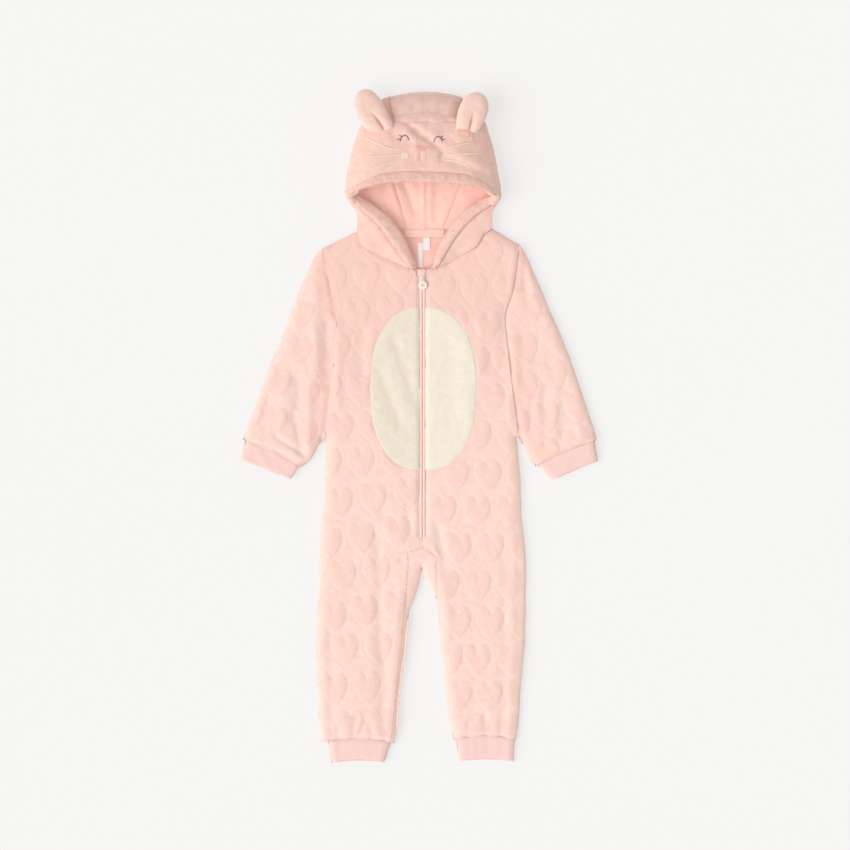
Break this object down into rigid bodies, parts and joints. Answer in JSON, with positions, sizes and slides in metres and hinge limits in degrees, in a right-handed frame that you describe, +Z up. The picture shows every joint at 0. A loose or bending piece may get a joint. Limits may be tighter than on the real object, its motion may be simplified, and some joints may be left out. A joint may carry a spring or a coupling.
{
  "type": "hooded plush onesie",
  "caption": "Toddler's hooded plush onesie with long sleeves, legs, front zip, cream belly patch, animal-ear hood and knit cuffs, laid flat on its back.",
  "frame": {"origin": "middle of the bounding box on the surface that the garment lies on", "axes": "+X to the right seen from above, +Y from the ankle cuffs to the hood's ears, +Z up from the surface through back and front"},
  "size_m": [0.482, 0.9078, 0.0452],
  "materials": {
    "plush": "embossed short-pile plush",
    "cream_plush": "smooth short-pile plush",
    "knit": "fine rib knit",
    "zip_tape": "woven tape",
    "zip_metal": "satin paint",
    "pull_rubber": "soft moulded rubber",
    "label": "woven satin, blank"
  },
  "bodies": {
    "garment": {"back_panel": "plush", "front_left": "plush", "front_right": "plush", "crotch_gusset": "plush", "sleeve_left": "plush", "sleeve_right": "plush", "wrist_cuff_left": "knit", "wrist_cuff_right": "knit", "ankle_cuff_left": "knit", "ankle_cuff_right": "knit", "belly_left": "cream_plush", "belly_right": "cream_plush", "hood_centre": "plush", "hood_side_left": "plush", "hood_side_right": "plush", "hood_temple_left": "plush", "hood_temple_right": "plush", "hood_face": "plush", "brim_hem": "plush", "hood_flap_left": "plush", "hood_flap_right": "plush", "hood_hem_left": "plush", "hood_hem_right": "plush", "ear_left": "plush", "ear_right": "plush", "ear_flower": "cream_plush", "ear_flower_centre": "plush", "neck_tape": "zip_tape", "neck_label": "label", "care_label": "label", "zip_tape": "zip_tape", "zip_coil": "zip_tape", "zip_slider": "zip_metal", "zip_guard": "plush"},
    "pull": {"zip_pull": "pull_rubber", "zip_pull_centre": "knit"}
  },
  "joints": [
    {"name": "pull_flip", "type": "hinge", "parent": "garment", "child": "pull", "pos_m": [0.0045, 0.19871, 0.01065], "axis": [-1, 0, 0], "range_deg": [0, 160]}
  ]
}
